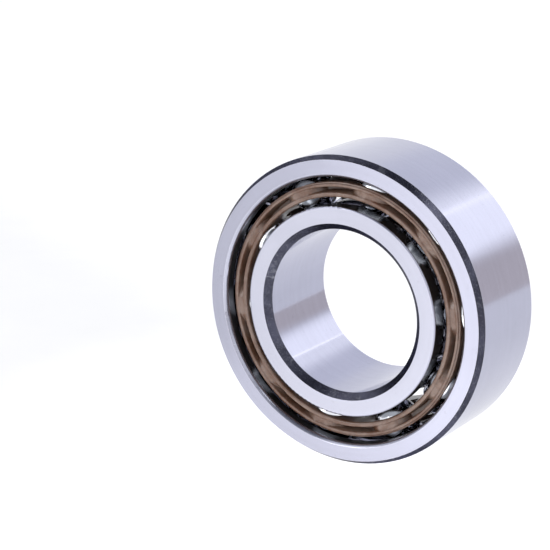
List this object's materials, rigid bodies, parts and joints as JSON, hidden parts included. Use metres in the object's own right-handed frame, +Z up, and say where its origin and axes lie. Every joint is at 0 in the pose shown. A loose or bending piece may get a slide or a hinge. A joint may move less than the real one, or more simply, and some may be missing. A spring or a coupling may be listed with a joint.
{
  "type": "double row angular contact ball bearing",
  "caption": "Open double-row angular contact ball bearing, back-to-back, with solid rings and two brown moulded snap-in cages.",
  "frame": {"origin": "centre of the bore, halfway between the two side faces", "axes": "+Y along the bearing axis, from the pictured front face to the back face; +Z up"},
  "size_m": [0.085, 0.0302, 0.085],
  "materials": {
    "ring_steel": "ground and honed bearing steel",
    "ball_steel": "lapped mirror-bright bearing steel",
    "cage_polyamide": "glass-filled polyamide, as moulded"
  },
  "bodies": {
    "outer_ring": {"outer_ring": "ring_steel"},
    "inner_ring": {"inner_ring": "ring_steel"},
    "cage_front": {"cage_front": "cage_polyamide"},
    "cage_rear": {"cage_rear": "cage_polyamide"},
    "ball_front_01": {"ball_front_01": "ball_steel"},
    "ball_front_02": {"ball_front_02": "ball_steel"},
    "ball_front_03": {"ball_front_03": "ball_steel"},
    "ball_front_04": {"ball_front_04": "ball_steel"},
    "ball_front_05": {"ball_front_05": "ball_steel"},
    "ball_front_06": {"ball_front_06": "ball_steel"},
    "ball_front_07": {"ball_front_07": "ball_steel"},
    "ball_front_08": {"ball_front_08": "ball_steel"},
    "ball_front_09": {"ball_front_09": "ball_steel"},
    "ball_front_10": {"ball_front_10": "ball_steel"},
    "ball_rear_01": {"ball_rear_01": "ball_steel"},
    "ball_rear_02": {"ball_rear_02": "ball_steel"},
    "ball_rear_03": {"ball_rear_03": "ball_steel"},
    "ball_rear_04": {"ball_rear_04": "ball_steel"},
    "ball_rear_05": {"ball_rear_05": "ball_steel"},
    "ball_rear_06": {"ball_rear_06": "ball_steel"},
    "ball_rear_07": {"ball_rear_07": "ball_steel"},
    "ball_rear_08": {"ball_rear_08": "ball_steel"},
    "ball_rear_09": {"ball_rear_09": "ball_steel"},
    "ball_rear_10": {"ball_rear_10": "ball_steel"}
  },
  "joints": [
    {"name": "inner_ring_spin", "type": "hinge", "parent": "outer_ring", "child": "inner_ring", "pos_m": [0, 0, 0], "axis": [0, 1, 0], "continuous": true},
    {"name": "cage_front_orbit", "type": "hinge", "parent": "outer_ring", "child": "cage_front", "pos_m": [0, 0, 0], "axis": [0, 1, 0], "continuous": true},
    {"name": "cage_rear_orbit", "type": "hinge", "parent": "outer_ring", "child": "cage_rear", "pos_m": [0, 0, 0], "axis": [0, 1, 0], "continuous": true},
    {"name": "ball_front_01_spin", "type": "hinge", "parent": "cage_front", "child": "ball_front_01", "pos_m": [-0.03279, -0.00625, -0.00368], "axis": [0.4969, 0.866, 0.0557], "continuous": true},
    {"name": "ball_front_02_spin", "type": "hinge", "parent": "cage_front", "child": "ball_front_02", "pos_m": [-0.02869, -0.00625, 0.0163], "axis": [0.4347, 0.866, -0.247], "continuous": true},
    {"name": "ball_front_03_spin", "type": "hinge", "parent": "cage_front", "child": "ball_front_03", "pos_m": [-0.01363, -0.00625, 0.03005], "axis": [0.2066, 0.866, -0.4553], "continuous": true},
    {"name": "ball_front_04_spin", "type": "hinge", "parent": "cage_front", "child": "ball_front_04", "pos_m": [0.00664, -0.00625, 0.03233], "axis": [-0.1005, 0.866, -0.4898], "continuous": true},
    {"name": "ball_front_05_spin", "type": "hinge", "parent": "cage_front", "child": "ball_front_05", "pos_m": [0.02437, -0.00625, 0.02225], "axis": [-0.3692, 0.866, -0.3372], "continuous": true},
    {"name": "ball_front_06_spin", "type": "hinge", "parent": "cage_front", "child": "ball_front_06", "pos_m": [0.03279, -0.00625, 0.00368], "axis": [-0.4969, 0.866, -0.0557], "continuous": true},
    {"name": "ball_front_07_spin", "type": "hinge", "parent": "cage_front", "child": "ball_front_07", "pos_m": [0.02869, -0.00625, -0.0163], "axis": [-0.4347, 0.866, 0.247], "continuous": true},
    {"name": "ball_front_08_spin", "type": "hinge", "parent": "cage_front", "child": "ball_front_08", "pos_m": [0.01363, -0.00625, -0.03005], "axis": [-0.2066, 0.866, 0.4553], "continuous": true},
    {"name": "ball_front_09_spin", "type": "hinge", "parent": "cage_front", "child": "ball_front_09", "pos_m": [-0.00664, -0.00625, -0.03233], "axis": [0.1005, 0.866, 0.4898], "continuous": true},
    {"name": "ball_front_10_spin", "type": "hinge", "parent": "cage_front", "child": "ball_front_10", "pos_m": [-0.02437, -0.00625, -0.02225], "axis": [0.3692, 0.866, 0.3372], "continuous": true},
    {"name": "ball_rear_01_spin", "type": "hinge", "parent": "cage_rear", "child": "ball_rear_01", "pos_m": [-0.03193, 0.00625, 0.00832], "axis": [-0.4839, 0.866, 0.126], "continuous": true},
    {"name": "ball_rear_02_spin", "type": "hinge", "parent": "cage_rear", "child": "ball_rear_02", "pos_m": [-0.02095, 0.00625, 0.0255], "axis": [-0.3174, 0.866, 0.3864], "continuous": true},
    {"name": "ball_rear_03_spin", "type": "hinge", "parent": "cage_rear", "child": "ball_rear_03", "pos_m": [-0.00196, 0.00625, 0.03294], "axis": [-0.0297, 0.866, 0.4991], "continuous": true},
    {"name": "ball_rear_04_spin", "type": "hinge", "parent": "cage_rear", "child": "ball_rear_04", "pos_m": [0.01778, 0.00625, 0.0278], "axis": [0.2694, 0.866, 0.4212], "continuous": true},
    {"name": "ball_rear_05_spin", "type": "hinge", "parent": "cage_rear", "child": "ball_rear_05", "pos_m": [0.03072, 0.00625, 0.01204], "axis": [0.4655, 0.866, 0.1824], "continuous": true},
    {"name": "ball_rear_06_spin", "type": "hinge", "parent": "cage_rear", "child": "ball_rear_06", "pos_m": [0.03193, 0.00625, -0.00832], "axis": [0.4839, 0.866, -0.126], "continuous": true},
    {"name": "ball_rear_07_spin", "type": "hinge", "parent": "cage_rear", "child": "ball_rear_07", "pos_m": [0.02095, 0.00625, -0.0255], "axis": [0.3174, 0.866, -0.3864], "continuous": true},
    {"name": "ball_rear_08_spin", "type": "hinge", "parent": "cage_rear", "child": "ball_rear_08", "pos_m": [0.00196, 0.00625, -0.03294], "axis": [0.0297, 0.866, -0.4991], "continuous": true},
    {"name": "ball_rear_09_spin", "type": "hinge", "parent": "cage_rear", "child": "ball_rear_09", "pos_m": [-0.01778, 0.00625, -0.0278], "axis": [-0.2694, 0.866, -0.4212], "continuous": true},
    {"name": "ball_rear_10_spin", "type": "hinge", "parent": "cage_rear", "child": "ball_rear_10", "pos_m": [-0.03072, 0.00625, -0.01204], "axis": [-0.4655, 0.866, -0.1824], "continuous": true}
  ],
  "couplings": [
    {"joint": "cage_front_orbit", "follows": "inner_ring_spin", "ratio": 0.42189},
    {"joint": "cage_rear_orbit", "follows": "inner_ring_spin", "ratio": 0.42189},
    {"joint": "ball_front_01_spin", "follows": "inner_ring_spin", "ratio": -2.7041},
    {"joint": "ball_front_02_spin", "follows": "inner_ring_spin", "ratio": -2.7041},
    {"joint": "ball_front_03_spin", "follows": "inner_ring_spin", "ratio": -2.7041},
    {"joint": "ball_front_04_spin", "follows": "inner_ring_spin", "ratio": -2.7041},
    {"joint": "ball_front_05_spin", "follows": "inner_ring_spin", "ratio": -2.7041},
    {"joint": "ball_front_06_spin", "follows": "inner_ring_spin", "ratio": -2.7041},
    {"joint": "ball_front_07_spin", "follows": "inner_ring_spin", "ratio": -2.7041},
    {"joint": "ball_front_08_spin", "follows": "inner_ring_spin", "ratio": -2.7041},
    {"joint": "ball_front_09_spin", "follows": "inner_ring_spin", "ratio": -2.7041},
    {"joint": "ball_front_10_spin", "follows": "inner_ring_spin", "ratio": -2.7041},
    {"joint": "ball_rear_01_spin", "follows": "inner_ring_spin", "ratio": -2.7041},
    {"joint": "ball_rear_02_spin", "follows": "inner_ring_spin", "ratio": -2.7041},
    {"joint": "ball_rear_03_spin", "follows": "inner_ring_spin", "ratio": -2.7041},
    {"joint": "ball_rear_04_spin", "follows": "inner_ring_spin", "ratio": -2.7041},
    {"joint": "ball_rear_05_spin", "follows": "inner_ring_spin", "ratio": -2.7041},
    {"joint": "ball_rear_06_spin", "follows": "inner_ring_spin", "ratio": -2.7041},
    {"joint": "ball_rear_07_spin", "follows": "inner_ring_spin", "ratio": -2.7041},
    {"joint": "ball_rear_08_spin", "follows": "inner_ring_spin", "ratio": -2.7041},
    {"joint": "ball_rear_09_spin", "follows": "inner_ring_spin", "ratio": -2.7041},
    {"joint": "ball_rear_10_spin", "follows": "inner_ring_spin", "ratio": -2.7041}
  ]
}
